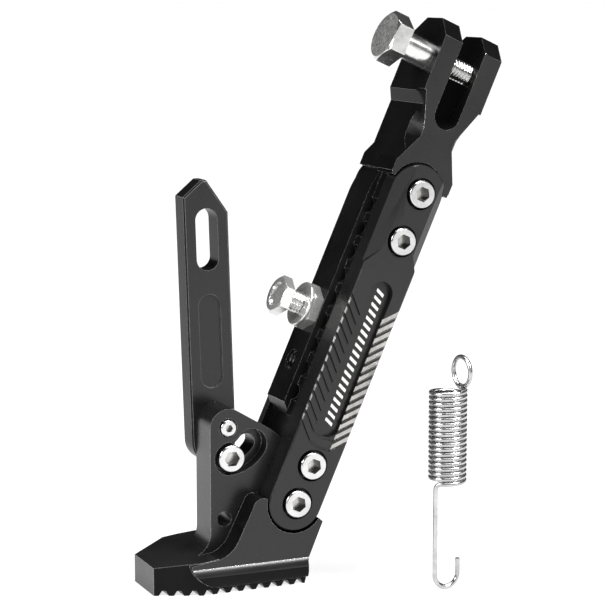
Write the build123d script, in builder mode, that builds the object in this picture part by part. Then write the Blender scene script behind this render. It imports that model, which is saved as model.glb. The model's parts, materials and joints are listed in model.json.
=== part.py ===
"""Adjustable motorcycle side stand with a kick lever, stop bolt and return spring.

The origin is the centre of the pivot. X runs to the right, Y to the back and Z up.
The leg leans by LEAN in the XZ plane. Along the leg the sketches use their own axes:
v across the leg, to the right, and u up the leg, both zero at the pivot.
"""

from build123d import *
import os
from math import cos, radians, sin, sqrt, tan

os.makedirs("parts", exist_ok=True)

# ---- leg frame -------------------------------------------------------------------------
LEAN = 24.0
V_DIR = Vector(cos(radians(LEAN)), 0, -sin(radians(LEAN)))
U_DIR = Vector(sin(radians(LEAN)), 0, cos(radians(LEAN)))

# ---- depths, as Y values ---------------------------------------------------------------
PLATE_FRONT = -10.8
PLATE_BACK = -1.0
CLEVIS_FRONT = -8.2
BAR_FRONT = 3.7
BAR_BACK = 19.5
BOSS_BACK = 13.2
LEVER_FRONT = 13.25
LEVER_BACK = 22.2
REAR_PLATE_BACK = 23.75
PAD_BACK = 29.2
SLIDE_GAP = 0.05

# ---- leg sizes -------------------------------------------------------------------------
CLEVIS_HALF = 12.7
NECK_HALF = 10.4
BAR_HALF = 12.6
EAR_TOP = 15.0
EAR_CHAMFER = (7.8, 6.5)
EAR_GAP = 10.3
GAP_BOTTOM = -23.3
HEAD_BOTTOM = -44.4
PRONG_BOTTOM = -45.6
BAR_BOTTOM = -141.0
PLATE_WIDTH = 20.9
PLATE_END_RADIUS = PLATE_WIDTH / 2
NEST_CLEARANCE = 0.8
RIB_HALF = 10.2
NOTCH_PITCH = 9.25
NOTCH_RADIUS = 3.2
NOTCH_COUNT = 9
LAST_NOTCH_U = -132.4

# ---- fasteners -------------------------------------------------------------------------
SCREW_LINE_V = 0.6
SCREW_US = (-48.4, -67.0, -154.7, -169.5)
M6_RADIUS = 3.0
M6_HEAD_RADIUS = 5.0
M6_HEAD_HEIGHT = 6.0
M6_SOCKET = 5.0
M6_LENGTH = 35.0
M6_NUT_WIDTH = 10.0
M6_NUT_HEIGHT = 4.9
M6_CLEARANCE_RADIUS = 3.3
HEAD_PROUD = 1.5
COUNTERBORE_RADIUS = 5.9
LENGTH_TRAVEL = 5 * NOTCH_PITCH
M4_RADIUS = 2.0
M4_HEAD_RADIUS = 3.0
M4_HEAD_HEIGHT = 3.5
M4_HEAD_ROOM = 3.5
M4_SOCKET = 2.5
M8_RADIUS = 3.95
M8_HOLE_RADIUS = 4.0
M8_HEX = 13.0
SHOULDER_RADIUS = 5.15
PIVOT_HEX = 17.0
HEX_CHAMFER_ANGLE = 30
FIT = 0.05

# ---- stop bolt -------------------------------------------------------------------------
STOP_Y = (BAR_FRONT + BAR_BACK) / 2
STOP_U = -101.5
SPARE_U = -121.9
STOP_HOLE_DEPTH = 8.0

# ---- foot and lever --------------------------------------------------------------------
SOLE_Z = -185.4
TOOTH_PITCH = 5.02
TOOTH_COUNT = 12
TOOTH_DEPTH = 1.8
FIRST_TOOTH_X = -120.5
PAD_LEFT = -121.3
PAD_RIGHT = -64.2
LEVER_X = -91.3
LEVER_Z = -127.1
LEVER_TILT = 1.8
LEVER_WIDTH = 17.2
CLAMP_RADIUS = 11.4
CLAMP_START = 84.0
CLAMP_END = 40.0
CLAMP_HEAD_ROOM = 6.1
CLAMP_SEAT_Y = PLATE_BACK + 5
PIVOT_SEAT_Y = PLATE_BACK + 2.5
SPRING_HOLE = (-93.0, -160.6)
SPRING_HOLE_RADIUS = 2.8


def leg_plane(y):
    """Sketch plane at depth y with v across and u up; its normal faces the front."""
    return Plane(origin=(0, y, 0), x_dir=V_DIR, z_dir=(0, -1, 0))


def front_plane(y):
    """Sketch plane at depth y with X across and Z up; its normal faces the front."""
    return Plane(origin=(0, y, 0), x_dir=(1, 0, 0), z_dir=(0, -1, 0))


def side_plane(v, u=0.0, y=0.0):
    """Sketch plane across the leg at v, with Y across and u up; its normal is v."""
    return Plane(origin=V_DIR * v + U_DIR * u + Vector(0, y, 0), x_dir=(0, 1, 0), z_dir=V_DIR)


def world_point(v, u, y=0.0):
    """Place of a leg-frame point."""
    return V_DIR * v + U_DIR * u + Vector(0, y, 0)


def leg_screw_plane(u, y):
    """Plane on the plate's screw line, facing the front."""
    return Plane(origin=world_point(SCREW_LINE_V, u, y), x_dir=V_DIR, z_dir=(0, -1, 0))


def export(builder, label):
    """Label a finished piece and write it."""
    builder.part.label = label
    export_step(builder.part, f"parts/{label}.step")


# ========================================================================================
# Clevis and bar: one machined piece
# ========================================================================================
FRONT_DEPTH = BAR_BACK - CLEVIS_FRONT
WAIST_BACK = 1.2
WAIST_HALF = 6.8
WAIST_TOP = -12.6
WAIST_MIDDLE = (-25.0, -29.0)
WAIST_BOTTOM = -40.5


def waist_section(u, half_width):
    """Triangle across the leg's front left corner, from its side to its front face."""
    plane = Plane(origin=U_DIR * u, x_dir=V_DIR, z_dir=U_DIR)
    outside = CLEVIS_HALF + 1
    with BuildSketch(plane) as section:
        with BuildLine():
            Polyline(
                (-half_width, CLEVIS_FRONT - 0.5),
                (-outside, CLEVIS_FRONT - 0.5),
                (-outside, WAIST_BACK + 2.2),
                (-half_width, CLEVIS_FRONT - 0.5),
            )
        make_face()
    return section.sketch


with BuildPart() as waist_cut:
    top_edge = waist_section(WAIST_TOP, CLEVIS_HALF - 0.9)
    upper_middle = waist_section(WAIST_MIDDLE[0], WAIST_HALF)
    lower_middle = waist_section(WAIST_MIDDLE[1], WAIST_HALF)
    bottom_edge = waist_section(WAIST_BOTTOM, CLEVIS_HALF)
    loft(sections=[top_edge, upper_middle], ruled=True)
    loft(sections=[upper_middle, lower_middle], ruled=True)
    loft(sections=[lower_middle, bottom_edge], ruled=True)
    mirror(about=Plane(origin=(0, 0, 0), x_dir=(0, 1, 0), z_dir=V_DIR))

with BuildPart() as clevis_bar:
    # Ears, neck and the two prongs beside the front plate's round top.
    with BuildSketch(leg_plane(BAR_BACK)):
        with BuildLine():
            right_side = Polyline(
                (0, EAR_TOP),
                (CLEVIS_HALF, EAR_TOP),
                (CLEVIS_HALF, -13.4),
                (NECK_HALF, -17.6),
                (NECK_HALF, -34.8),
                (CLEVIS_HALF - 0.1, -39.6),
                (CLEVIS_HALF - 0.1, HEAD_BOTTOM),
                (0, HEAD_BOTTOM),
            )
            mirror(right_side, about=Plane.YZ)
        make_face()
    extrude(amount=FRONT_DEPTH)
    with BuildSketch(side_plane(-CLEVIS_HALF - 1)):
        with BuildLine():
            Polyline(
                (CLEVIS_FRONT, HEAD_BOTTOM),
                (CLEVIS_FRONT, EAR_TOP - EAR_CHAMFER[1]),
                (CLEVIS_FRONT + EAR_CHAMFER[0], EAR_TOP),
                (BAR_BACK - EAR_CHAMFER[0], EAR_TOP),
                (BAR_BACK, EAR_TOP - EAR_CHAMFER[1]),
                (BAR_BACK, HEAD_BOTTOM),
                (CLEVIS_FRONT, HEAD_BOTTOM),
            )
        make_face()
    extrude(amount=2 * CLEVIS_HALF + 2, mode=Mode.INTERSECT)
    with BuildSketch(leg_plane(BAR_FRONT)):
        with Locations((0, (HEAD_BOTTOM + PRONG_BOTTOM) / 2)):
            Rectangle(2 * CLEVIS_HALF - 0.6, HEAD_BOTTOM - PRONG_BOTTOM)
    extrude(amount=BAR_FRONT - CLEVIS_FRONT)
    # Seat for the front plate's round top.
    with BuildSketch(leg_plane(PLATE_BACK)):
        with Locations((0, SCREW_US[0])):
            Circle(PLATE_END_RADIUS + NEST_CLEARANCE)
        with Locations((0, SCREW_US[0] - PLATE_WIDTH / 2)):
            Rectangle(PLATE_WIDTH + 2 * NEST_CLEARANCE, PLATE_WIDTH)
    extrude(amount=PLATE_BACK - CLEVIS_FRONT + 1, mode=Mode.SUBTRACT)
    # The bar that the two plates clamp, with rounded shoulders under the clevis.
    with BuildSketch(leg_plane(BAR_BACK)):
        with BuildLine():
            right_edge = Polyline(
                (0, HEAD_BOTTOM + 2),
                (BAR_HALF - 1.4, HEAD_BOTTOM + 2),
                (BAR_HALF - 1.4, HEAD_BOTTOM - 1.2),
            )
            shoulder = RadiusArc(right_edge @ 1, (BAR_HALF, HEAD_BOTTOM - 10), 40)
            Polyline(
                shoulder @ 1,
                (BAR_HALF, BAR_BOTTOM + 3.8),
                (BAR_HALF - 3.6, BAR_BOTTOM),
                (0, BAR_BOTTOM),
            )
            mirror(about=Plane.YZ)
        make_face()
    extrude(amount=BAR_BACK - BAR_FRONT)
    # Front rib with a row of round notches along both sides.
    with BuildSketch(leg_plane(BAR_FRONT)):
        with Locations((0, (HEAD_BOTTOM + BAR_BOTTOM) / 2)):
            Rectangle(2 * RIB_HALF, HEAD_BOTTOM - BAR_BOTTOM)
        notch_us = [LAST_NOTCH_U + NOTCH_PITCH * i for i in range(NOTCH_COUNT)]
        with Locations([(side * (RIB_HALF + 1.2), u) for side in (-1, 1) for u in notch_us]):
            Circle(NOTCH_RADIUS, mode=Mode.SUBTRACT)
    extrude(amount=BAR_FRONT - PLATE_BACK - SLIDE_GAP)
    # Gap between the ears.
    with BuildSketch(leg_plane(BAR_BACK + 1)):
        with Locations((0, GAP_BOTTOM + EAR_GAP / 2)):
            Circle(EAR_GAP / 2)
        with Locations((0, (GAP_BOTTOM + EAR_GAP / 2 + EAR_TOP + 1) / 2)):
            Rectangle(EAR_GAP, EAR_TOP + 1 - GAP_BOTTOM - EAR_GAP / 2)
    extrude(amount=FRONT_DEPTH + 2, mode=Mode.SUBTRACT)
    add(waist_cut.part, mode=Mode.SUBTRACT)
    # Pivot holes: the left ear takes the bolt's shoulder and the right ear its thread.
    with BuildSketch(side_plane(-CLEVIS_HALF - 1)):
        Circle(SHOULDER_RADIUS + FIT)
    extrude(amount=CLEVIS_HALF + 1, mode=Mode.SUBTRACT)
    with BuildSketch(side_plane(0)):
        Circle(M8_HOLE_RADIUS)
    extrude(amount=CLEVIS_HALF + 1, mode=Mode.SUBTRACT)
    # Long slot that the two upper screws slide in.
    slot_top = SCREW_US[0] + M6_CLEARANCE_RADIUS
    slot_bottom = SCREW_US[1] - LENGTH_TRAVEL - M6_CLEARANCE_RADIUS
    with BuildSketch(leg_plane(BAR_BACK + 1)):
        with Locations((SCREW_LINE_V, (slot_top + slot_bottom) / 2)):
            SlotOverall(slot_top - slot_bottom, 2 * M6_CLEARANCE_RADIUS, rotation=90)
    extrude(amount=BAR_BACK - PLATE_BACK + 2, mode=Mode.SUBTRACT)
    # Threaded holes for the stop bolt: the one in use and the spare.
    for hole_u in (STOP_U, SPARE_U):
        with BuildSketch(side_plane(-BAR_HALF, hole_u, STOP_Y)):
            Circle(M8_HOLE_RADIUS)
        extrude(amount=STOP_HOLE_DEPTH, mode=Mode.SUBTRACT)
export(clevis_bar, "clevis_bar")

# ========================================================================================
# Front plate: bevelled shoulders, a long pocket and chevron grooves
# ========================================================================================
PLATE_TOP_U = SCREW_US[0]
PLATE_BOTTOM_U = SCREW_US[3]
PLATE_MIDDLE_U = (PLATE_TOP_U + PLATE_BOTTOM_U) / 2
PLATE_LENGTH = PLATE_TOP_U - PLATE_BOTTOM_U + PLATE_WIDTH
BEVEL_DEPTH = 2.4
POCKET_TOP = -83.0
POCKET_BOTTOM = -143.4
POCKET_WIDTH = 9.4
POCKET_DEPTH = 2.2
CHEVRON_PITCH = 3.76
CHEVRON_COUNT = 14
CHEVRON_TOP = -91.0
CHEVRON_WIDTHS = {-1: 1.1, 1: 1.9}
JOIN_WIDTH = 1.1
CHEVRON_DEPTH = 0.7
CHEVRON_REACH = PLATE_WIDTH / 2 + 1
CHEVRON_INNER = 4.4
JOINED_CHEVRONS = 2
JOIN_DROP = 0.7

with BuildPart() as bevel_cut:
    # Footprints of the two bevels, each with a slanted lower end.
    with BuildSketch(leg_plane(PLATE_FRONT + BEVEL_DEPTH + 1)):
        with BuildLine():
            Polyline((-5.6, -36), (-5.9, -72.2), (-12, -81.2), (-12, -36), (-5.6, -36))
        make_face()
        with BuildLine():
            Polyline((7.4, -36), (6.6, -69.6), (12, -78.6), (12, -36), (7.4, -36))
        make_face()
    extrude(amount=BEVEL_DEPTH + 2)
    with BuildSketch(Plane(origin=U_DIR * -30, x_dir=V_DIR, z_dir=U_DIR)):
        for side, inner in ((-1, 5.7), (1, 7.0)):
            outside = PLATE_WIDTH / 2 + 2
            slope = BEVEL_DEPTH / (PLATE_WIDTH / 2 - inner)
            with BuildLine():
                Polyline(
                    (side * inner, PLATE_FRONT),
                    (side * outside, PLATE_FRONT + slope * (outside - inner)),
                    (side * outside, PLATE_FRONT - 1),
                    (side * inner, PLATE_FRONT - 1),
                    (side * inner, PLATE_FRONT),
                )
            make_face()
    extrude(amount=-60, mode=Mode.INTERSECT)

with BuildPart() as front_plate:
    with BuildSketch(leg_plane(PLATE_BACK)):
        with Locations((0, PLATE_MIDDLE_U)):
            SlotOverall(PLATE_LENGTH, PLATE_WIDTH, rotation=90)
    extrude(amount=PLATE_BACK - PLATE_FRONT)
    chamfer(front_plate.faces().sort_by(Axis.Y)[0].edges(), 0.5)
    add(bevel_cut.part, mode=Mode.SUBTRACT)
    # Chevron grooves, wider on the right of the pocket; the last two join below it.
    chevron_run = CHEVRON_REACH - CHEVRON_INNER
    with BuildSketch(leg_plane(PLATE_FRONT + CHEVRON_DEPTH)):
        for i in range(CHEVRON_COUNT):
            outer_u = CHEVRON_TOP - CHEVRON_PITCH * i
            for side, width in CHEVRON_WIDTHS.items():
                with BuildLine():
                    Line(
                        (side * CHEVRON_REACH, outer_u),
                        (side * CHEVRON_INNER, outer_u - chevron_run),
                    )
                    offset(amount=width / 2, side=Side.BOTH)
                make_face()
            if i >= CHEVRON_COUNT - JOINED_CHEVRONS:
                with BuildLine():
                    ThreePointArc(
                        (-CHEVRON_INNER, outer_u - chevron_run),
                        (0, outer_u - chevron_run - JOIN_DROP),
                        (CHEVRON_INNER, outer_u - chevron_run),
                    )
                    offset(amount=JOIN_WIDTH / 2, side=Side.BOTH)
                make_face()
    extrude(amount=CHEVRON_DEPTH + 1, mode=Mode.SUBTRACT)
    with BuildSketch(leg_plane(PLATE_FRONT + POCKET_DEPTH)):
        with Locations((SCREW_LINE_V, (POCKET_TOP + POCKET_BOTTOM) / 2)):
            SlotOverall(POCKET_TOP - POCKET_BOTTOM, POCKET_WIDTH, rotation=90)
    extrude(amount=POCKET_DEPTH + 1, mode=Mode.SUBTRACT)
    with Locations([leg_screw_plane(u, PLATE_FRONT) for u in SCREW_US]):
        CounterBoreHole(
            M6_CLEARANCE_RADIUS,
            COUNTERBORE_RADIUS,
            M6_HEAD_HEIGHT - HEAD_PROUD,
            PLATE_BACK - PLATE_FRONT,
        )
export(front_plate, "front_plate")

with BuildPart() as rear_plate:
    with BuildSketch(leg_plane(REAR_PLATE_BACK)):
        with Locations((0, PLATE_MIDDLE_U)):
            SlotOverall(PLATE_LENGTH, PLATE_WIDTH, rotation=90)
    extrude(amount=REAR_PLATE_BACK - BAR_BACK - SLIDE_GAP)
    chamfer(rear_plate.faces().sort_by(Axis.Y)[-1].edges(), 0.8)
    with Locations([leg_screw_plane(u, BAR_BACK) for u in SCREW_US]):
        Hole(M6_RADIUS, REAR_PLATE_BACK)
export(rear_plate, "rear_plate")


# ========================================================================================
# Fasteners
# ========================================================================================
def hex_prism(plane, across_flats, height, rounded_ends=(False, True)):
    """Hexagonal solid on a plane with the usual 30 degree turned corners."""
    corner = across_flats / 2 / cos(radians(30))
    drop = (corner - across_flats / 2) * tan(radians(HEX_CHAMFER_ANGLE)) * 1.2
    with BuildPart() as prism:
        with BuildSketch(plane):
            RegularPolygon(corner, 6)
        extrude(amount=height)
        with BuildSketch(Plane(origin=plane.origin, x_dir=plane.x_dir, z_dir=plane.y_dir * -1)):
            start = drop if rounded_ends[0] else 0
            end = height - drop if rounded_ends[1] else height
            inner = across_flats / 2 - 0.2
            with BuildLine():
                Polyline(
                    (0, 0),
                    (inner if rounded_ends[0] else corner + 1, 0),
                    (corner + 0.1, start),
                    (corner + 0.1, end),
                    (inner if rounded_ends[1] else corner + 1, height),
                    (0, height),
                    (0, 0),
                )
            make_face()
        revolve(axis=Axis(plane.origin, plane.z_dir), mode=Mode.INTERSECT)
    return prism


def cap_screw(head_plane, shank_radius, head_radius, head_height, length, socket):
    """Socket-head cap screw; head_plane lies on the head's underside and faces its top."""
    top = Plane(
        origin=head_plane.origin + head_plane.z_dir * head_height,
        x_dir=head_plane.x_dir,
        z_dir=head_plane.z_dir,
    )
    tip = Plane(
        origin=head_plane.origin - head_plane.z_dir * length,
        x_dir=head_plane.x_dir,
        z_dir=head_plane.z_dir,
    )
    with BuildPart() as screw:
        with BuildSketch(head_plane):
            Circle(head_radius)
        extrude(amount=head_height)
        chamfer(screw.edges().sort_by(Axis(top.origin, top.z_dir))[-1], 0.4)
        with BuildSketch(tip):
            Circle(shank_radius)
        extrude(amount=length)
        with BuildSketch(top):
            RegularPolygon(socket / 2 / cos(radians(30)), 6)
        extrude(amount=-head_height * 0.55, mode=Mode.SUBTRACT)
    return screw


SCREW_SEAT_Y = PLATE_FRONT + M6_HEAD_HEIGHT - HEAD_PROUD


def plate_screw(u):
    """One M6 screw through both plates."""
    seat = leg_screw_plane(u, SCREW_SEAT_Y)
    return cap_screw(seat, M6_RADIUS, M6_HEAD_RADIUS, M6_HEAD_HEIGHT, M6_LENGTH, M6_SOCKET)


def plate_nut(u):
    """One M6 nut behind the rear plate."""
    seat = Plane(origin=world_point(SCREW_LINE_V, u, REAR_PLATE_BACK), x_dir=V_DIR, z_dir=(0, 1, 0))
    nut = hex_prism(seat, M6_NUT_WIDTH, M6_NUT_HEIGHT)
    with BuildPart() as bored:
        add(nut.part)
        with Locations(seat):
            Hole(M6_RADIUS)
    return bored


for label, us in (("length_clamp", SCREW_US[:2]), ("foot", SCREW_US[2:])):
    screws = [plate_screw(u) for u in us]
    nuts = [plate_nut(u) for u in us]
    with BuildPart() as screw_group:
        for screw in screws:
            add(screw.part)
    export(screw_group, f"{label}_screws")
    with BuildPart() as nut_group:
        for nut in nuts:
            add(nut.part)
    export(nut_group, f"{label}_nuts")

# Pivot shoulder bolt, drawn part-way out of the ears.
PIVOT_HEAD_V = -25.3
PIVOT_HEAD_HEIGHT = 6.7
SHOULDER_END_V = -6.6
PIVOT_TIP_V = 8.6
pivot_head = hex_prism(
    Plane(origin=world_point(PIVOT_HEAD_V, 0), x_dir=U_DIR, z_dir=V_DIR * -1),
    PIVOT_HEX,
    PIVOT_HEAD_HEIGHT,
)
with BuildPart() as pivot_bolt:
    add(pivot_head.part)
    with BuildSketch(side_plane(PIVOT_HEAD_V)):
        Circle(SHOULDER_RADIUS)
    extrude(amount=SHOULDER_END_V - PIVOT_HEAD_V)
    with BuildSketch(side_plane(SHOULDER_END_V)):
        Circle(M8_RADIUS)
    extrude(amount=PIVOT_TIP_V - SHOULDER_END_V)
    chamfer(pivot_bolt.edges().sort_by(Axis((0, 0, 0), V_DIR))[-1], 0.6)
export(pivot_bolt, "pivot_bolt")

# Stop bolt with its lock nut and washer on the bar's left face.
STOP_NUT_WIDTH = 15.0
NUT_OUTER_V = -BAR_HALF - 4.0
WASHER_OUTER_V = NUT_OUTER_V - 1.5
WASHER_RADIUS = 8.5
STOP_HEAD_V = WASHER_OUTER_V - 6.3
STOP_HEAD_HEIGHT = 4.0
STOP_TIP_V = -8.6
DISH_RADIUS = 4.6
DISH_DEPTH = 0.8

lock_nut_body = hex_prism(
    Plane(origin=world_point(-BAR_HALF, STOP_U, STOP_Y), x_dir=U_DIR, z_dir=V_DIR * -1),
    STOP_NUT_WIDTH,
    -BAR_HALF - NUT_OUTER_V,
)
with BuildPart() as stop_lock_nut:
    add(lock_nut_body.part)
    with BuildSketch(side_plane(NUT_OUTER_V, STOP_U, STOP_Y)):
        Circle(M8_HOLE_RADIUS)
    extrude(amount=-BAR_HALF - NUT_OUTER_V, mode=Mode.SUBTRACT)
export(stop_lock_nut, "stop_lock_nut")

with BuildPart() as stop_washer:
    with BuildSketch(side_plane(WASHER_OUTER_V, STOP_U, STOP_Y)):
        Circle(WASHER_RADIUS)
        Circle(M8_HOLE_RADIUS, mode=Mode.SUBTRACT)
    extrude(amount=NUT_OUTER_V - WASHER_OUTER_V)
    chamfer(stop_washer.edges().filter_by(GeomType.CIRCLE).sort_by(SortBy.RADIUS)[-2:], 0.3)
export(stop_washer, "stop_washer")

stop_head = hex_prism(
    Plane(origin=world_point(STOP_HEAD_V, STOP_U, STOP_Y), x_dir=U_DIR, z_dir=V_DIR * -1),
    M8_HEX,
    STOP_HEAD_HEIGHT,
)
with BuildPart() as stop_bolt:
    add(stop_head.part)
    with BuildSketch(side_plane(STOP_HEAD_V, STOP_U, STOP_Y)):
        Circle(M8_RADIUS)
    extrude(amount=STOP_TIP_V - STOP_HEAD_V)
    with BuildSketch(side_plane(STOP_HEAD_V - STOP_HEAD_HEIGHT, STOP_U, STOP_Y)):
        Circle(DISH_RADIUS)
    extrude(amount=DISH_DEPTH, mode=Mode.SUBTRACT)
export(stop_bolt, "stop_bolt")


# ========================================================================================
# Foot: toothed sole pad, heel slab, lever boss and the tongue between the plates
# ========================================================================================
PAD_FRONT = -10.2
LIP_TOP_Z = -175.6
LIP_BOTTOM_Z = -182.8
LIP_OUT = 1.2
ROOT_Z = SOLE_Z + TOOTH_DEPTH
CREST_FLAT = 1.6
VALLEY_FLAT = 1.2
TREAD_FILLET = 0.55
TONGUE_TOP = -150.0
TOE_TOP_Z = -175.2
PAD_TOP_RIGHT_Z = -172.0
BOSS_LEFT = -98.3
BOSS_TOP_RADIUS = 7.0
BOSS_FLARE_Z = -165.2
FLARE_RADIUS = 8.8


def clamp_point(angle, radius=CLAMP_RADIUS):
    """Point on the lever's clamp circle; the angle is measured down from the right."""
    return (LEVER_X + radius * cos(radians(angle)), LEVER_Z - radius * sin(radians(angle)))


def arc_slot(y, amount, half_width):
    """Cut a slot round the lever's pivot, open towards the front."""
    with BuildSketch(front_plane(y)) as slot:
        SlotArc(CLAMP_ARC, 2 * half_width)
    extrude(slot.sketch, amount=amount, mode=Mode.SUBTRACT)


CLAMP_ARC = ThreePointArc(
    clamp_point(CLAMP_START + 2),
    clamp_point((CLAMP_START + CLAMP_END) / 2),
    clamp_point(CLAMP_END - 2),
)

# Heel slab level with the front plate, with a rounded lip along its lower edge.
with BuildPart() as heel_slab:
    with BuildSketch(front_plane(PLATE_BACK)):
        with BuildLine():
            Polyline(
                (-79.0, -153.2),
                (-60.9, -160.4),
                (-58.2, -162.8),
                (PAD_RIGHT, -176.8),
                (PAD_RIGHT, LIP_BOTTOM_Z),
                (-100.0, LIP_BOTTOM_Z),
            )
            ThreePointArc((-100.0, LIP_BOTTOM_Z), (-106.4, -179.6), (-109.4, -174.9))
            Polyline((-109.4, -174.9), (-109.4, -174.2), (-101.5, -173.0))
            RadiusArc((-101.5, -173.0), (-91.6, -167.0), -11)
            Line((-91.6, -167.0), (-85.6, -155.0))
            ThreePointArc((-85.6, -155.0), (-82.6, -151.9), (-79.0, -153.2))
        make_face()
    extrude(amount=PLATE_BACK - PLATE_FRONT + LIP_OUT)
    with BuildSketch(Plane(origin=(-115, 0, 0), x_dir=(0, 1, 0), z_dir=(1, 0, 0))):
        with BuildLine():
            Polyline(
                (PLATE_FRONT, LIP_TOP_Z),
                (PLATE_FRONT, -150),
                (PLATE_BACK, -150),
                (PLATE_BACK, LIP_BOTTOM_Z),
                (PLATE_FRONT - 0.3, LIP_BOTTOM_Z),
            )
            ThreePointArc(
                (PLATE_FRONT - 0.3, LIP_BOTTOM_Z),
                (PLATE_FRONT - LIP_OUT + 0.05, -179.2),
                (PLATE_FRONT, LIP_TOP_Z),
            )
        make_face()
    extrude(amount=60, mode=Mode.INTERSECT)

with BuildPart() as foot:
    # Sole pad: plan with cut toe corners, side profile with the tread.
    with BuildSketch(Plane.XY.offset(SOLE_Z)):
        with BuildLine():
            Polyline(
                (PAD_LEFT, -3.4),
                (-105.2, PAD_FRONT),
                (PAD_RIGHT, PAD_FRONT),
                (PAD_RIGHT, PAD_BACK),
                (-106, PAD_BACK),
                (PAD_LEFT, 17.0),
                (PAD_LEFT, -3.4),
            )
        make_face()
    extrude(amount=-SOLE_Z + LEVER_Z - 20)
    with BuildSketch(front_plane(PAD_BACK + 1)):
        with BuildLine():
            Polyline(
                (PAD_LEFT, SOLE_Z),
                (PAD_LEFT, TOE_TOP_Z),
                (-99.5, -172.7),
                (-90, PAD_TOP_RIGHT_Z),
                (-66.2, PAD_TOP_RIGHT_Z),
                (PAD_RIGHT, -176.8),
                (PAD_RIGHT, -181.4),
                (PAD_RIGHT - 1.0, SOLE_Z),
                (PAD_LEFT, SOLE_Z),
            )
        make_face()
        for i in range(TOOTH_COUNT - 1):
            valley_x = FIRST_TOOTH_X + TOOTH_PITCH * (i + 0.5)
            half_mouth = (TOOTH_PITCH - CREST_FLAT) / 2
            with BuildLine():
                Polyline(
                    (valley_x - half_mouth, SOLE_Z),
                    (valley_x - VALLEY_FLAT / 2, ROOT_Z),
                    (valley_x + VALLEY_FLAT / 2, ROOT_Z),
                    (valley_x + half_mouth, SOLE_Z),
                    (valley_x - half_mouth, SOLE_Z),
                )
            make_face(mode=Mode.SUBTRACT)
        tread_corners = vertices().filter_by_position(Axis.X, PAD_LEFT + 0.5, PAD_RIGHT - 2)
        fillet(tread_corners.filter_by_position(Axis.Z, SOLE_Z - 1, ROOT_Z + 0.1), TREAD_FILLET)
    extrude(amount=PAD_BACK - PLATE_FRONT + 4, mode=Mode.INTERSECT)
    add(heel_slab.part)
    # Core under the leg and the tongue between the plates.
    with BuildSketch(front_plane(BAR_BACK)):
        with BuildLine():
            Polyline(
                (-92, -178),
                (-88, -164),
                (-80, -155),
                (-60.9, -160.4),
                (-58.2, -162.8),
                (PAD_RIGHT, -176.8),
                (PAD_RIGHT, -178),
                (-92, -178),
            )
        make_face()
    extrude(amount=BAR_BACK - PLATE_BACK)
    with BuildSketch(leg_plane(BAR_BACK)):
        with Locations((0, (TONGUE_TOP + SCREW_US[3] - 4) / 2)):
            Rectangle(PLATE_WIDTH - 0.4, TONGUE_TOP - SCREW_US[3] + 4)
    extrude(amount=BAR_BACK - PLATE_BACK)
    # Boss plate that carries the lever.
    with BuildSketch(front_plane(BOSS_BACK)):
        tongue_corner = world_point(-PLATE_WIDTH / 2 + 0.5, TONGUE_TOP)
        tongue_inner = world_point(0, -165)
        with BuildLine():
            crown = CenterArc((LEVER_X, LEVER_Z), BOSS_TOP_RADIUS, 60, 120)
            Polyline(
                crown @ 1,
                (BOSS_LEFT, BOSS_FLARE_Z),
            )
            flare_centre = BOSS_LEFT - FLARE_RADIUS
            ThreePointArc(
                (BOSS_LEFT, BOSS_FLARE_Z),
                (
                    flare_centre + FLARE_RADIUS * cos(radians(45)),
                    BOSS_FLARE_Z - FLARE_RADIUS * sin(radians(45)),
                ),
                (flare_centre, BOSS_FLARE_Z - FLARE_RADIUS),
            )
            Polyline(
                (flare_centre, BOSS_FLARE_Z - FLARE_RADIUS),
                (flare_centre, -176),
                (-80, -176),
                (tongue_inner.X, tongue_inner.Z),
                (tongue_corner.X, tongue_corner.Z),
                (-75.2, -128.6),
                crown @ 0,
            )
        make_face()
    extrude(amount=BOSS_BACK - PLATE_BACK)
    # Room for the front plate's round lower end.
    with BuildSketch(leg_plane(PLATE_BACK)):
        with Locations((0, SCREW_US[3])):
            Circle(PLATE_END_RADIUS + NEST_CLEARANCE)
        with Locations((0, SCREW_US[3] + PLATE_WIDTH)):
            Rectangle(PLATE_WIDTH + 2 * NEST_CLEARANCE, 2 * PLATE_WIDTH)
    extrude(amount=PLATE_BACK - PLATE_FRONT + 3, mode=Mode.SUBTRACT)
    arc_slot(BOSS_BACK + 1, BOSS_BACK - PLATE_BACK + 2, M6_CLEARANCE_RADIUS)
    arc_slot(CLAMP_SEAT_Y + FIT, CLAMP_SEAT_Y - PLATE_BACK + 2, CLAMP_HEAD_ROOM)
    with Locations(Plane(origin=(LEVER_X, PLATE_BACK, LEVER_Z), x_dir=(1, 0, 0), z_dir=(0, -1, 0))):
        CounterBoreHole(M4_RADIUS + FIT, M4_HEAD_ROOM, PIVOT_SEAT_Y - PLATE_BACK + FIT, 20)
    with Locations(
        Plane(origin=(SPRING_HOLE[0], PLATE_BACK, SPRING_HOLE[1]), x_dir=(1, 0, 0), z_dir=(0, -1, 0))
    ):
        Hole(SPRING_HOLE_RADIUS, 20)
    with Locations([leg_screw_plane(u, PLATE_BACK) for u in SCREW_US[2:]]):
        Hole(M6_CLEARANCE_RADIUS, BAR_BACK - PLATE_BACK)
export(foot, "foot")


# ========================================================================================
# Kick lever and its screws
# ========================================================================================
LEVER_TOP = 88.6
LEVER_LEFT_TOP = 82.9
LEVER_RIGHT_TOP = 76.4
LEVER_FLAT = (-1.4, 0.6)
LEVER_BOTTOM_CENTRE = -7.4
LEVER_SLOT = (67.0, 22.6, 8.4)
LEVER_RECESS = (29.6, 34.6, 8.4)
RECESS_DEPTH = 0.8


def lever_plane(y):
    """Sketch plane at depth y on the lever's own axes, with its origin at its pivot."""
    tilt = radians(LEVER_TILT)
    return Plane(origin=(LEVER_X, y, LEVER_Z), x_dir=(cos(tilt), 0, sin(tilt)), z_dir=(0, -1, 0))


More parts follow.
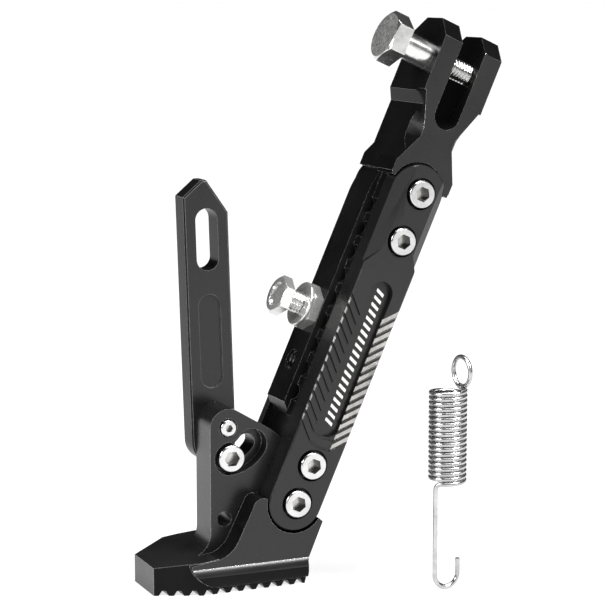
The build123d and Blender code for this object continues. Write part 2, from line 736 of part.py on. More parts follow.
with BuildPart() as kick_lever:
    half = LEVER_WIDTH / 2
    with BuildSketch(lever_plane(LEVER_BACK)):
        with BuildLine():
            Polyline(
                (half, LEVER_BOTTOM_CENTRE),
                (half, LEVER_RIGHT_TOP),
                (LEVER_FLAT[1], LEVER_TOP),
                (LEVER_FLAT[0], LEVER_TOP),
                (-half, LEVER_LEFT_TOP),
                (-half, LEVER_BOTTOM_CENTRE),
            )
            ThreePointArc(
                (-half, LEVER_BOTTOM_CENTRE),
                (0, LEVER_BOTTOM_CENTRE - half),
                (half, LEVER_BOTTOM_CENTRE),
            )
        make_face()
        with Locations((0, LEVER_SLOT[0])):
            SlotOverall(LEVER_SLOT[1], LEVER_SLOT[2], rotation=90, mode=Mode.SUBTRACT)
    extrude(amount=LEVER_BACK - LEVER_FRONT)
    chamfer(kick_lever.faces().sort_by(Axis.Y)[0].outer_wire().edges(), 0.6)
    chamfer(kick_lever.faces().sort_by(Axis.Y)[-1].outer_wire().edges(), 0.6)
    with BuildSketch(lever_plane(LEVER_FRONT + RECESS_DEPTH)):
        with Locations((0, LEVER_RECESS[0])):
            SlotOverall(LEVER_RECESS[1], LEVER_RECESS[2], rotation=90)
    extrude(amount=RECESS_DEPTH + 1, mode=Mode.SUBTRACT)
    clamp_x, clamp_z = clamp_point(CLAMP_START)
    with Locations(Plane(origin=(LEVER_X, LEVER_FRONT, LEVER_Z), x_dir=(1, 0, 0), z_dir=(0, -1, 0))):
        Hole(M4_RADIUS, 20)
    with Locations(Plane(origin=(clamp_x, LEVER_FRONT, clamp_z), x_dir=(1, 0, 0), z_dir=(0, -1, 0))):
        Hole(M6_RADIUS, 20)
export(kick_lever, "kick_lever")

lever_clamp_screw = cap_screw(
    Plane(origin=(clamp_x, CLAMP_SEAT_Y, clamp_z), x_dir=(1, 0, 0), z_dir=(0, -1, 0)),
    M6_RADIUS,
    M6_HEAD_RADIUS,
    M6_HEAD_HEIGHT,
    LEVER_BACK - CLAMP_SEAT_Y,
    M6_SOCKET,
)
export(lever_clamp_screw, "lever_clamp_screw")

lever_pivot_screw = cap_screw(
    Plane(origin=(LEVER_X, PIVOT_SEAT_Y, LEVER_Z), x_dir=(1, 0, 0), z_dir=(0, -1, 0)),
    M4_RADIUS,
    M4_HEAD_RADIUS,
    M4_HEAD_HEIGHT,
    LEVER_BACK - PIVOT_SEAT_Y,
    M4_SOCKET,
)
export(lever_pivot_screw, "lever_pivot_screw")

# ========================================================================================
# Return spring, standing loose in front of the stand: one wire from its hook to its loop
# ========================================================================================
SPRING_X = -20.0
SPRING_Y = -35.0
WIRE_RADIUS = 0.88
COIL_RADIUS = 6.2
COIL_PITCH = 1.82
FULL_TURNS = 18
LEG_ANGLE = 222.0
LOOP_ANGLE = 6.0
COIL_TURNS = FULL_TURNS + (LOOP_ANGLE + 360 - LEG_ANGLE) / 360
COIL_BOTTOM_Z = -146.0
LEG_BEND = 2.2
LOOP_BEND = 6.0
LOOP_RADIUS = 5.3
HOOK_RADIUS = 4.6
HOOK_RISE = 5.5
UP = Vector(0, 0, 1)

spring_plane = Plane(
    origin=(SPRING_X, SPRING_Y, COIL_BOTTOM_Z),
    x_dir=(cos(radians(LEG_ANGLE)), sin(radians(LEG_ANGLE)), 0),
    z_dir=(0, 0, 1),
)
coil = (spring_plane.location * Helix(COIL_PITCH, COIL_PITCH * COIL_TURNS, COIL_RADIUS)).edge()
climb = (coil % 0).Z
level = sqrt(1 - climb**2)

# The coil's lower end bends down into a straight leg with a hook that opens upwards.
away = Vector(-(coil % 0).X, -(coil % 0).Y, 0).normalized()
leg_top = coil @ 0 + away * LEG_BEND * (1 - climb) - UP * LEG_BEND * level
leg_bend = TangentArc(coil @ 0, leg_top, tangent=(coil % 0) * -1)
hook_centre = Vector(leg_top.X + HOOK_RADIUS, leg_top.Y, SOLE_Z + WIRE_RADIUS + HOOK_RADIUS)
hook_left = hook_centre - Vector(HOOK_RADIUS, 0, 0)
hook_right = hook_centre + Vector(HOOK_RADIUS, 0, 0)
hook_end = Line(hook_right + UP * HOOK_RISE, hook_right)
hook = ThreePointArc(hook_left, hook_centre - UP * HOOK_RADIUS, hook_right)
leg = Line(leg_top, hook_left)

# The upper end bends up into a loop that stands across the coil.
along = Vector((coil % 1).X, (coil % 1).Y, 0).normalized()
loop_start = coil @ 1 + along * LOOP_BEND * (1 - climb) + UP * LOOP_BEND * level
loop_bend = TangentArc(coil @ 1, loop_start, tangent=coil % 1)
loop_centre = loop_start - along * LOOP_RADIUS


def loop_point(angle):
    """Point on the loop; the angle runs from the loop's start upwards."""
    return loop_centre + (along * cos(radians(angle)) + UP * sin(radians(angle))) * LOOP_RADIUS


loop = ThreePointArc(loop_start, loop_point(140), loop_point(285))
spring_path = Wire([hook_end, hook, leg, leg_bend, coil, loop_bend, loop])

with BuildPart() as return_spring:
    with BuildSketch(Plane(origin=spring_path @ 0, z_dir=spring_path % 0)):
        Circle(WIRE_RADIUS)
    sweep(path=spring_path, is_frenet=True)
export(return_spring, "return_spring")
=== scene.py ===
"""Looks of the adjustable side stand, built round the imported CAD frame.

Everything is in metres in the row frame: X to the right, Y to the back, Z up, with the
origin at the centre of the pivot. V runs across the leaning leg and U up it.
"""

import json
from math import cos, pi, radians, sin

import bmesh
import bpy
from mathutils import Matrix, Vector


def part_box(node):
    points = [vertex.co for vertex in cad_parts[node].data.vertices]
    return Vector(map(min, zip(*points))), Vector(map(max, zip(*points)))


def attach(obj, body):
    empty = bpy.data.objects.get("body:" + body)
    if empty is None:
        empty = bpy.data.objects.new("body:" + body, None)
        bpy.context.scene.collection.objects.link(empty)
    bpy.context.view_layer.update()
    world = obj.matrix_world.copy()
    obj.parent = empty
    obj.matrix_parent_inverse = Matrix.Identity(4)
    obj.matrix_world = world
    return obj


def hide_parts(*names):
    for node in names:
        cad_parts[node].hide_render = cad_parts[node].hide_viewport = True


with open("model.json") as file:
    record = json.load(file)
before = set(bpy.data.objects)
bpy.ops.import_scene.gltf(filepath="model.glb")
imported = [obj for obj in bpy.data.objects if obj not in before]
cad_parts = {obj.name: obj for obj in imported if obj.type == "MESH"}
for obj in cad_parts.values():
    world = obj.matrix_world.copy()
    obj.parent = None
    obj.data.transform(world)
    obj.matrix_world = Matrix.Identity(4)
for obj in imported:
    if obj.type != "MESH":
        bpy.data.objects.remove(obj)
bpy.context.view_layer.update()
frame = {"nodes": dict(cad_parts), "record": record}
nodes = frame["nodes"]

MM = 0.001
LEAN = radians(24)
V = Vector((cos(LEAN), 0, -sin(LEAN)))
U = Vector((sin(LEAN), 0, cos(LEAN)))


def leg_point(v, u, y):
    """A point given across the leg, up the leg and in depth, in millimetres."""
    return (V * v + U * u + Vector((0, y, 0))) * MM


# ---- node-tree helpers -----------------------------------------------------------------
class Tree:
    """A material's node tree with short calls."""

    def __init__(self, name):
        self.material = bpy.data.materials.new(name)
        self.material.use_nodes = True
        self.nodes = self.material.node_tree.nodes
        self.links = self.material.node_tree.links
        self.shader = self.nodes["Principled BSDF"]

    def node(self, kind, **settings):
        made = self.nodes.new(kind)
        for key, value in settings.items():
            setattr(made, key, value)
        return made

    def join(self, output, socket):
        self.links.new(output, socket)

    def place(self):
        return self.node("ShaderNodeTexCoord").outputs["Object"]

    def scaled(self, vector, scale):
        made = self.node("ShaderNodeMapping")
        made.inputs["Scale"].default_value = scale
        self.join(vector, made.inputs["Vector"])
        return made.outputs["Vector"]

    def noise(self, vector, scale, detail=2.0, rough=0.5, distortion=0.0):
        made = self.node("ShaderNodeTexNoise")
        made.inputs["Scale"].default_value = scale
        made.inputs["Detail"].default_value = detail
        made.inputs["Roughness"].default_value = rough
        made.inputs["Distortion"].default_value = distortion
        self.join(vector, made.inputs["Vector"])
        return made.outputs["Fac"]

    def spread(self, value, low, high, to_low=0.0, to_high=1.0):
        made = self.node("ShaderNodeMapRange")
        made.inputs["From Min"].default_value = low
        made.inputs["From Max"].default_value = high
        made.inputs["To Min"].default_value = to_low
        made.inputs["To Max"].default_value = to_high
        self.join(value, made.inputs["Value"])
        return made.outputs["Result"]

    def math(self, operation, first, second):
        made = self.node("ShaderNodeMath", operation=operation)
        for socket, value in zip(made.inputs, (first, second)):
            if isinstance(value, (int, float)):
                socket.default_value = value
            else:
                self.join(value, socket)
        return made.outputs["Value"]

    def mix(self, factor, first, second):
        made = self.node("ShaderNodeMix", data_type="RGBA")
        colour_sockets = [s for s in made.inputs if s.type == "RGBA"]
        for socket, value in zip([made.inputs[0], *colour_sockets], (factor, first, second)):
            if isinstance(value, (int, float)):
                socket.default_value = value
            elif isinstance(value, tuple):
                socket.default_value = (*value, 1)
            else:
                self.join(value, socket)
        return next(s for s in made.outputs if s.type == "RGBA")

    def bump(self, heights):
        """Chains (height, strength, distance) bumps into the shader's normal."""
        normal = None
        for height, strength, distance in heights:
            made = self.node("ShaderNodeBump")
            made.inputs["Strength"].default_value = strength
            made.inputs["Distance"].default_value = distance
            self.join(height, made.inputs["Height"])
            if normal is not None:
                self.join(normal, made.inputs["Normal"])
            normal = made.outputs["Normal"]
        self.join(normal, self.shader.inputs["Normal"])


def anodised(name, dark, light, rough_low, rough_high, edge, specular=0.45):
    """Bead-blasted black anodised aluminium with rubbed edges, which faces marked wear show."""
    tree = Tree(name)
    place = tree.place()
    cloud = tree.noise(place, 38.0, 4.0, 0.6)
    speck = tree.noise(place, 5200.0, 2.0, 0.6)
    scuff = tree.noise(tree.scaled(place, (260.0, 260.0, 1900.0)), 1.0, 3.0, 0.65, 0.4)
    tone = tree.mix(tree.spread(cloud, 0.3, 0.7), dark, light)
    speck_tone = tree.mix(tree.spread(speck, 0.45, 0.75, 0.0, 0.35), tone, tuple(c * 1.9 for c in light))
    wear = tree.node("ShaderNodeAttribute", attribute_name="wear").outputs["Fac"]
    rub = tree.spread(tree.noise(place, 420.0, 3.0, 0.7), 0.34, 0.6, 0.4, 1.0)
    worn = tree.math("MULTIPLY", wear, rub)
    tree.join(tree.mix(worn, speck_tone, edge), tree.shader.inputs["Base Color"])
    rough = tree.spread(cloud, 0.3, 0.7, rough_low, rough_high)
    scuffed = tree.math("SUBTRACT", rough, tree.spread(scuff, 0.62, 0.8, 0.0, 0.1))
    polished = tree.math("SUBTRACT", scuffed, tree.math("MULTIPLY", worn, 0.12))
    tree.join(polished, tree.shader.inputs["Roughness"])
    tree.join(tree.math("MULTIPLY", worn, 0.9), tree.shader.inputs["Metallic"])
    tree.shader.inputs["Specular IOR Level"].default_value = specular
    tree.bump([(speck, 0.2, 0.00003), (scuff, 0.05, 0.00005), (cloud, 0.05, 0.0002)])
    return tree.material


def plated(name, colour, stain, rough_low, rough_high, turned=0.0, dimples=0.0, metal=1.0):
    """Bright plated steel; turned adds fine lines, and dimples a rough forged skin where marked."""
    tree = Tree(name)
    place = tree.place()
    cloud = tree.noise(place, 160.0, 4.0, 0.65)
    fine = tree.noise(place, 2600.0, 2.0, 0.6)
    patch = tree.noise(place, 620.0, 4.0, 0.7, 0.6)
    tone = tree.mix(tree.spread(cloud, 0.35, 0.7), colour, stain)
    forged = tree.node("ShaderNodeAttribute", attribute_name="forged").outputs["Fac"]
    pit = tree.noise(place, 1150.0, 5.0, 0.75, 0.4)
    pitted = tree.math("MULTIPLY", forged, tree.spread(pit, 0.38, 0.62, 1.0, 0.0))
    dull = tree.mix(pitted, tone, tuple(c * 0.22 for c in stain))
    tree.join(dull, tree.shader.inputs["Base Color"])
    tree.shader.inputs["Metallic"].default_value = metal
    rough = tree.spread(patch, 0.3, 0.75, rough_low, rough_high)
    tree.join(tree.math("ADD", rough, tree.math("MULTIPLY", forged, 0.16)), tree.shader.inputs["Roughness"])
    heights = [(fine, 0.08, 0.00002)]
    if turned:
        lines = tree.noise(tree.scaled(place, (60.0, 4200.0, 4200.0)), 1.0, 2.0, 0.5)
        heights.append((lines, turned, 0.00002))
    if dimples:
        heights.append((tree.math("MULTIPLY", pit, forged), dimples, 0.0004))
    tree.bump(heights)
    return tree.material


WORN = (0.62, 0.62, 0.61)
BLACK = anodised("black_anodised", (0.0030, 0.0028, 0.0028), (0.0070, 0.0067, 0.0067), 0.24, 0.34, WORN)
# Painted shade: a darker, less glossy copy of the black anodising, put on side, underside and up-facing faces to
# stand in for shade.
PAINTED_SHADE_BLACK = anodised("painted_shade_black", (0.0016, 0.0016, 0.0016), (0.0040, 0.0040, 0.0040), 0.22, 0.32, WORN, 0.10)
ZINC = plated("zinc_steel", (0.84, 0.84, 0.83), (0.60, 0.60, 0.59), 0.14, 0.30, turned=0.1, dimples=1.0)
SATIN = plated("satin_zinc", (0.72, 0.72, 0.71), (0.56, 0.56, 0.55), 0.12, 0.24, turned=0.04, metal=0.8)
# Real plating on the screws; also used as a painted highlight on the right-hand grooves' down-facing walls.
CHROME = plated("screw_chrome", (0.66, 0.66, 0.66), (0.52, 0.52, 0.52), 0.14, 0.28, turned=0.05)
# Painted shade: the dark colour of the walls inside the screws' hexagon sockets.
SOCKET_SHADE = plated("socket_painted_shade", (0.16, 0.16, 0.16), (0.08, 0.08, 0.08), 0.30, 0.46)
SPRING = plated("spring_steel", (0.58, 0.58, 0.58), (0.36, 0.36, 0.36), 0.18, 0.34, turned=0.06)
GROOVE = plated("machined_groove", (0.52, 0.51, 0.49), (0.34, 0.33, 0.32), 0.18, 0.32, turned=0.12)


def print_ink():
    """White print, slightly thin in places."""
    tree = Tree("white_print")
    place = tree.place()
    cover = tree.noise(place, 900.0, 4.0, 0.7)
    tone = tree.mix(tree.spread(cover, 0.3, 0.75), (0.72, 0.72, 0.71), (0.52, 0.52, 0.51))
    tree.join(tone, tree.shader.inputs["Base Color"])
    tree.join(tree.spread(cover, 0.3, 0.7, 0.42, 0.6), tree.shader.inputs["Roughness"])
    tree.bump([(cover, 0.2, 0.00003)])
    return tree.material


PRINT = print_ink()


# ---- pieces made from CAD nodes --------------------------------------------------------
def link(name, mesh, body, materials, replaced=()):
    """Make an object of a mesh, ride it on its body and hide the CAD parts it replaces."""
    made = bpy.data.objects.new(name, mesh)
    bpy.context.scene.collection.objects.link(made)
    for material in materials:
        mesh.materials.append(material)
    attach(made, body)
    if replaced:
        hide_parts(*replaced)
    return made


def body_of_node(node):
    """The CAD body that holds a node."""
    for body, members in frame["record"]["behaviour"]["bodies"].items():
        if node in members:
            return body
    raise ValueError(node)


def sharp_edges(bm, angle, wanted=None):
    """Edges that turn by more than an angle in degrees, and that a test on their middle accepts."""
    found = []
    for edge in bm.edges:
        if len(edge.link_faces) != 2 or edge.calc_face_angle(0) < radians(angle):
            continue
        if edge.calc_length() < 0.02 * MM:
            continue
        middle = (edge.verts[0].co + edge.verts[1].co) / 2
        if wanted is None or wanted(middle / MM):
            found.append(edge)
    return found


def rounded(bm, edges, width, segments=2):
    """Round edges over and give back the new faces."""
    return bmesh.ops.bevel(
        bm,
        geom=edges,
        offset=width * MM,
        offset_type="OFFSET",
        segments=segments,
        profile=0.5,
        affect="EDGES",
        clamp_overlap=True,
        loop_slide=True,
    )["faces"]


def softened(node, materials, width, angle=28.0, before=None, after=None):
    """Copy of a CAD node with its sharp edges rounded; the new edge faces carry wear."""
    mesh = nodes[node].data.copy()
    mesh.materials.clear()
    bm = bmesh.new()
    bm.from_mesh(mesh)
    bmesh.ops.remove_doubles(bm, verts=bm.verts, dist=2e-6)
    bmesh.ops.dissolve_degenerate(bm, edges=bm.edges, dist=1e-6)
    bmesh.ops.dissolve_limit(bm, angle_limit=radians(0.6), verts=bm.verts, edges=bm.edges)
    bmesh.ops.recalc_face_normals(bm, faces=bm.faces)
    bm.faces.layers.float.new("wear")
    bm.faces.layers.float.new("forged")
    if before is not None:
        before(bm)
    edge_faces = rounded(bm, sharp_edges(bm, angle), width)
    wear = bm.faces.layers.float["wear"]
    for face in edge_faces:
        face[wear] = 1.0
    if after is not None:
        after(bm)
    for face in bm.faces:
        face.smooth = True
    for edge in bm.edges:
        edge.smooth = len(edge.link_faces) == 2 and edge.calc_face_angle(0) < radians(35)
    bm.to_mesh(mesh)
    bm.free()
    made = link(node + "_body", mesh, body_of_node(node), materials, (node,))
    normals = made.modifiers.new("normals", "WEIGHTED_NORMAL")
    normals.keep_sharp = True
    return made


# ---- plates, clevis, foot and lever ----------------------------------------------------
def paint_side_shade(bm):
    """Faces that don't look to the front get painted shade: a deeper black."""
    for face in bm.faces:
        if face.normal.y > -0.8:
            face.material_index = 1


def paint_foot_shade(bm):
    """The lip's underside, the toe, the tread and the heel slab's upper wall get painted shade: a deeper black."""
    lip_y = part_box("foot")[0][1] / MM
    for face in bm.faces:
        middle = face.calc_center_median() / MM
        on_lip = middle.y < lip_y + 1.1 and middle.z < LIP_MIDDLE_Z
        on_wall = middle.y < PLATE_BACK_Y + 0.2 and face.normal.z > 0.2 and middle.z > WALL_BOTTOM_Z
        on_toe = middle.x < TOE_FACE_X and face.normal.y < -0.7
        if on_lip or on_wall or on_toe or middle.z < TREAD_TOP_Z:
            face.material_index = 1


def lever_wear_and_painted_shade(bm):
    """The lever's edges get painted shade, a deeper black than its faces, and are hardly worn."""
    wear = bm.faces.layers.float["wear"]
    for face in bm.faces:
        face[wear] *= 0.15
        if abs(face.normal.y) < 0.8:
            face.material_index = 1


LIP_MIDDLE_Z = -178.6
TOE_FACE_X = -105.0
TREAD_TOP_Z = -182.9
PLATE_BACK_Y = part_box("front_plate")[1][1] / MM
WALL_BOTTOM_Z = -174.0
softened("clevis_bar", [BLACK, PAINTED_SHADE_BLACK], 0.2, after=paint_side_shade)
softened("foot", [BLACK, PAINTED_SHADE_BLACK], 0.24, after=paint_foot_shade)
softened("kick_lever", [BLACK, PAINTED_SHADE_BLACK], 0.14, after=lever_wear_and_painted_shade)

PLATE_FACE_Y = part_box("front_plate")[0][1] / MM
GROOVE_DEPTH = 0.7
GROOVE_ZONE = (-149.5, -90.0)
POCKET_DEPTH = 2.2
POCKET_EDGE_V = 5.2
POCKET_END_U = -143.8
LEFT_CHAMFER_V = -9.9


def groove_floor(place):
    """Whether a point lies at the bottom of a right-hand groove, beside the pocket."""
    deep = abs(place.y - PLATE_FACE_Y - GROOVE_DEPTH) < 0.05
    return deep and place.dot(V) > -0.5 and GROOVE_ZONE[0] < place.dot(U) < GROOVE_ZONE[1]


def round_grooves(bm):
    """Right-hand grooves get a round bottom."""
    rounded(bm, sharp_edges(bm, 40, groove_floor), 0.5, 3)


def split_join(bm):
    """Split the joined grooves at the pocket's right edge, where their polished arms begin."""
    crossing = [
        face
        for face in bm.faces
        if 0.1 < face.calc_center_median().y / MM - PLATE_FACE_Y < GROOVE_DEPTH + 0.1
        and min(corner.co.dot(V) / MM for corner in face.verts) < POCKET_EDGE_V
        and max(corner.co.dot(V) / MM for corner in face.verts) > POCKET_EDGE_V
    ]
    edges = dict.fromkeys(edge for face in crossing for edge in face.edges)
    corners = dict.fromkeys(corner for face in crossing for corner in face.verts)
    bmesh.ops.bisect_plane(
        bm,
        geom=[*crossing, *edges, *corners],
        plane_co=V * POCKET_EDGE_V * MM,
        plane_no=V,
    )


def bare_grooves_and_painted_light(bm):
    """Right-hand grooves are bare metal, with a painted highlight on the wall that looks down and painted shade on
    the wall that looks up; the rest stays black.
    """
    wear = bm.faces.layers.float["wear"]
    split_join(bm)
    downhill = (V - U).normalized()
    for face in bm.faces:
        centre = face.calc_center_median() / MM
        across = centre.dot(V)
        along = centre.dot(U)
        depth = centre.y - PLATE_FACE_Y
        if not GROOVE_ZONE[0] < along < GROOVE_ZONE[1] or depth > GROOVE_DEPTH + 0.1:
            continue
        if across > POCKET_EDGE_V and depth > 0.1:
            slope = face.normal.dot(downhill)
            # Painted light: walls looking down get the chrome as a painted highlight, the middle the groove metal,
            # walls looking up the black as painted shade.
            face.material_index = 2 if slope > 0.2 else 1 if slope > -0.5 else 0
        elif across > LEFT_CHAMFER_V and (across <= 0 or along < POCKET_END_U):
            face[wear] = 0.0
        elif across < LEFT_CHAMFER_V and 0.05 < depth < 0.45:
            face[wear] = 1.0


softened("front_plate", [BLACK, GROOVE, CHROME], 0.14, before=round_grooves, after=bare_grooves_and_painted_light)
softened("rear_plate", [BLACK], 0.2)


# ---- screws, nuts and bolts ------------------------------------------------------------
def islands(bm):
    """The separate solids of a mesh, each as a list of faces."""
    left = set(bm.faces)
    groups = []
    while left:
        group = []
        waiting = [left.pop()]
        while waiting:
            face = waiting.pop()
            group.append(face)
            for edge in face.edges:
                for other in edge.link_faces:
                    if other in left:
                        left.remove(other)
                        waiting.append(other)
        groups.append(group)
    return groups


def paint_socket_shade(bm):
    """Each screw's hexagon socket gets painted shade: dark walls and a grey floor."""
    for group in islands(bm):
        points = [v.co / MM for face in group for v in face.verts]
        front = min(p.y for p in points)
        radius = (max(p.x for p in points) - min(p.x for p in points)) / 2
        centre_x = (max(p.x for p in points) + min(p.x for p in points)) / 2
        centre_z = (max(p.z for p in points) + min(p.z for p in points)) / 2
        for face in group:
            middle = face.calc_center_median() / MM
            reach = ((middle.x - centre_x) ** 2 + (middle.z - centre_z) ** 2) ** 0.5
            depth = middle.y - front
            if 0.01 < depth < radius * 0.8 and reach < radius * 0.66:
                # Painted shade: walls get the dark socket colour, the floor the grey groove metal.
                face.material_index = 1 if face.normal.y > -0.9 else 2


for node in ("length_clamp_screws", "foot_screws", "lever_clamp_screw", "lever_pivot_screw"):
    softened(node, [CHROME, SOCKET_SHADE, GROOVE], 0.12, after=paint_socket_shade)
for node in ("length_clamp_nuts", "foot_nuts"):
    softened(node, [ZINC], 0.15)
for node in ("stop_lock_nut", "stop_washer"):
    softened(node, [SATIN], 0.15)

THREAD_CREST = 3.95
THREAD_ROOT = 3.3
THREAD_PITCH = 1.25


def slimmed(u, y, thread_from, thread_to):
    """A change that thins a bolt's plain shank, so that a separate thread can cover it."""
    axis = U * u + Vector((0, y, 0))

    def thin(bm):
        for vertex in bm.verts:
            place = vertex.co / MM
            across = place.dot(V)
            offset = place - V * across - axis
            if thread_from - 0.1 < across < thread_to + 0.1 and 3 < offset.length < THREAD_CREST + 0.06:
                vertex.co = (V * across + axis + offset * ((THREAD_ROOT - 0.1) / offset.length)) * MM

    return thin


def forge_head(bm):
    """The hexagon head's outer face is left rough."""
    forged = bm.faces.layers.float["forged"]
    outer = min(v.co.dot(V) for v in bm.verts)
    for face in bm.faces:
        if abs(face.calc_center_median().dot(V) - outer) < 0.2 * MM and face.normal.dot(V) < -0.9:
            face[forged] = 1.0


def thread(name, body, material, u, y, v_range, radii, wall=None):
    """Helical thread across the leg: a rod, or the lining of a hole when it has an outer wall."""
    around = 48
    per_turn = 8
    root, crest = radii
    rows = round((v_range[1] - v_range[0]) / THREAD_PITCH * per_turn)
    bm = bmesh.new()

    def ring(across, radius_at):
        made = []
        for i in range(around):
            turn = i / around
            radius = radius_at(turn)
            up = U * cos(2 * pi * turn) + Vector((0, sin(2 * pi * turn), 0))
            made.append(bm.verts.new((V * across + U * u + Vector((0, y, 0)) + up * radius) * MM))
        return made

    def radius_along(across):
        def radius_at(turn):
            phase = (across / THREAD_PITCH - turn) % 1.0
            return root + (crest - root) * min(1.0, 1.3 * (1 - abs(2 * phase - 1)))

        return radius_at

    step = (v_range[1] - v_range[0]) / rows
    rings = [ring(v_range[0] + step * j, radius_along(v_range[0] + step * j)) for j in range(rows + 1)]
    if wall is not None:
        rings.append(ring(v_range[1], lambda turn: wall))
        rings.append(ring(v_range[0], lambda turn: wall))
        rings.append(rings[0])
    for lower, upper in zip(rings, rings[1:]):
        for i in range(around):
            bm.faces.new((lower[i], lower[(i + 1) % around], upper[(i + 1) % around], upper[i]))
    if wall is None:
        bm.faces.new(rings[0])
        bm.faces.new(rings[-1])
    bmesh.ops.recalc_face_normals(bm, faces=bm.faces)
    for face in bm.faces:
        face.smooth = True
    for edge in bm.edges:
        edge.smooth = edge.calc_face_angle(0) < radians(50)
    mesh = bpy.data.meshes.new(name)
    bm.to_mesh(mesh)
    bm.free()
    link(name, mesh, body, [material])


PIVOT_THREAD = (-6.6, 8.6)
STOP_U = -101.5
SPARE_U = -121.9
STOP_Y = 11.6
STOP_THREAD = (-24.3, -8.6)
SPARE_THREAD = (-12.2, -4.6)

softened(
    "pivot_bolt",
    [ZINC],
    0.2,
    before=slimmed(0, 0, *PIVOT_THREAD),
    after=forge_head,
)
softened("stop_bolt", [SATIN], 0.2, before=slimmed(STOP_U, STOP_Y, *STOP_THREAD))
thread("pivot_bolt_thread", body_of_node("pivot_bolt"), ZINC, 0, 0, PIVOT_THREAD, (THREAD_ROOT, THREAD_CREST))
thread("stop_bolt_thread", body_of_node("stop_bolt"), SATIN, STOP_U, STOP_Y, STOP_THREAD, (THREAD_ROOT, THREAD_CREST))
thread("spare_hole_thread", body_of_node("clevis_bar"), BLACK, SPARE_U, STOP_Y, SPARE_THREAD, (3.4, 3.98), 4.15)
softened("return_spring", [SPRING], 0.0001)


# ---- slanted bars in the front plate's pocket ------------------------------------------
def pocket_bars():
    """A row of printed slanted bars along the pocket's floor."""
    count = 20
    first_u = -138.4
    pitch = 2.66
    bar_width = 1.15
    half_height = 1.7
    slant = 0.7
    middle_v = 1.2
    floor_y = PLATE_FACE_Y + POCKET_DEPTH
    bm = bmesh.new()
    for i in range(count):
        low = first_u + pitch * i
        corners = [
            (middle_v - half_height, low + slant),
            (middle_v + half_height, low - slant),
            (middle_v + half_height, low - slant + bar_width),
            (middle_v - half_height, low + slant + bar_width),
        ]
        back = [bm.verts.new(leg_point(v, u, floor_y + 0.03)) for v, u in corners]
        front = [bm.verts.new(leg_point(v, u, floor_y - 0.06)) for v, u in corners]
        bm.faces.new(front)
        bm.faces.new(back)
        for k in range(4):
            bm.faces.new((back[k], back[(k + 1) % 4], front[(k + 1) % 4], front[k]))
    bmesh.ops.recalc_face_normals(bm, faces=bm.faces)
    mesh = bpy.data.meshes.new("pocket_bars")
    bm.to_mesh(mesh)
    bm.free()
    made = bpy.data.objects.new("pocket_bars", mesh)
    bpy.context.scene.collection.objects.link(made)
    mesh.materials.append(PRINT)
    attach(made, body_of_node("front_plate"))


pocket_bars()


# ---- floor, light and camera -----------------------------------------------------------
FLOOR_Z = -0.1854


def floor_material():
    """Pale matt sheet, lit a little from below."""
    tree = Tree("pale_floor")
    place = tree.place()
    cloud = tree.noise(place, 6.0, 3.0, 0.5)
    tone = tree.mix(tree.spread(cloud, 0.3, 0.7), (0.20, 0.20, 0.20), (0.24, 0.24, 0.24))
    tree.join(tone, tree.shader.inputs["Base Color"])
    tree.shader.inputs["Roughness"].default_value = 0.85
    tree.shader.inputs["Emission Color"].default_value = (1.0, 1.0, 1.0, 1.0)
    tree.shader.inputs["Emission Strength"].default_value = 0.76
    tree.bump([(tree.noise(place, 900.0), 0.04, 0.0001)])
    return tree.material


def stage_sheet():
    """Wide flat floor, so that the camera sees nothing else behind the stand."""
    half = 14.0
    bm = bmesh.new()
    corners = [(-half, -half), (half, -half), (half, half), (-half, half)]
    bm.faces.new([bm.verts.new((x, y, FLOOR_Z)) for x, y in corners])
    mesh = bpy.data.meshes.new("floor")
    bm.to_mesh(mesh)
    bm.free()
    mesh.materials.append(floor_material())
    made = bpy.data.objects.new("floor", mesh)
    bpy.context.scene.collection.objects.link(made)


stage_sheet()

TARGET = Vector((-0.06, 0.0, -0.09))


def soft_light(name, direction, distance, size, power):
    """Rectangular area light that faces the stand from a direction."""
    data = bpy.data.lights.new(name, "AREA")
    data.shape = "RECTANGLE"
    data.size, data.size_y = size
    data.energy = power
    made = bpy.data.objects.new(name, data)
    away = Vector(direction).normalized()
    made.location = TARGET + away * distance
    made.rotation_mode = "QUATERNION"
    made.rotation_quaternion = (-away).to_track_quat("-Z", "Y")
    bpy.context.scene.collection.objects.link(made)


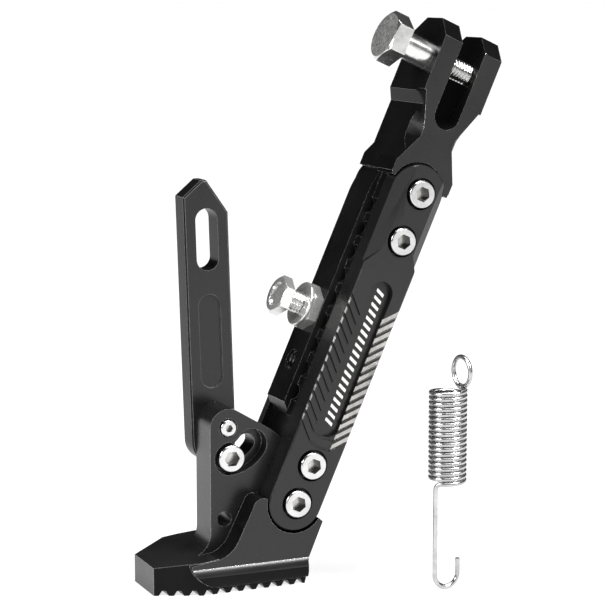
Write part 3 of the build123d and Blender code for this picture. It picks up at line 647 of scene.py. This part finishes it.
def overhead_sun():
    """Broad light from straight above, which whitens the floor."""
    data = bpy.data.lights.new("overhead", "SUN")
    data.energy = 3.3
    data.angle = radians(40)
    made = bpy.data.objects.new("overhead", data)
    bpy.context.scene.collection.objects.link(made)


def studio_world():
    """White below the horizon and dim above it; the camera itself sees plain white."""
    world = bpy.data.worlds.new("studio")
    bpy.context.scene.world = world
    world.use_nodes = True
    made = world.node_tree.nodes
    links = world.node_tree.links
    background = made["Background"]
    place = made.new("ShaderNodeTexCoord")
    split = made.new("ShaderNodeSeparateXYZ")
    links.new(place.outputs["Generated"], split.inputs["Vector"])
    fade = made.new("ShaderNodeMapRange")
    fade.inputs["From Min"].default_value = 0.0
    fade.inputs["From Max"].default_value = 0.07
    fade.inputs["To Min"].default_value = 1.0
    fade.inputs["To Max"].default_value = 0.04
    links.new(split.outputs["Z"], fade.inputs["Value"])
    path = made.new("ShaderNodeLightPath")
    brighter = made.new("ShaderNodeMath")
    brighter.operation = "MAXIMUM"
    links.new(fade.outputs["Result"], brighter.inputs[0])
    links.new(path.outputs["Is Camera Ray"], brighter.inputs[1])
    links.new(brighter.outputs["Value"], background.inputs["Strength"])
    background.inputs["Color"].default_value = (1.0, 1.0, 1.0, 1.0)


overhead_sun()
soft_light("upper_front", (0.40, -0.62, 0.68), 1.1, (0.5, 0.25), 22.0)
soft_light("behind_camera", (-0.40, -0.88, 0.24), 1.6, (1.1, 0.5), 2.0)
soft_light("left_key", (-0.92, -0.10, 0.42), 1.0, (0.4, 0.4), 9.0)
studio_world()
bpy.context.scene.view_settings.view_transform = "Standard"

AZIMUTH = radians(23.9)
ELEVATION = radians(8.9)
camera_data = bpy.data.cameras.new("camera")
camera_data.lens = 121.7
camera_data.sensor_width = 36.0
camera_data.clip_start = 0.05
camera_data.clip_end = 60.0
camera = bpy.data.objects.new("camera", camera_data)
camera.location = (-0.3613, -0.6759, 0.0318)
camera.rotation_mode = "QUATERNION"
looking = Vector((sin(AZIMUTH) * cos(ELEVATION), cos(AZIMUTH) * cos(ELEVATION), -sin(ELEVATION)))
camera.rotation_quaternion = looking.to_track_quat("-Z", "Y")
bpy.context.scene.collection.objects.link(camera)
bpy.context.scene.camera = camera
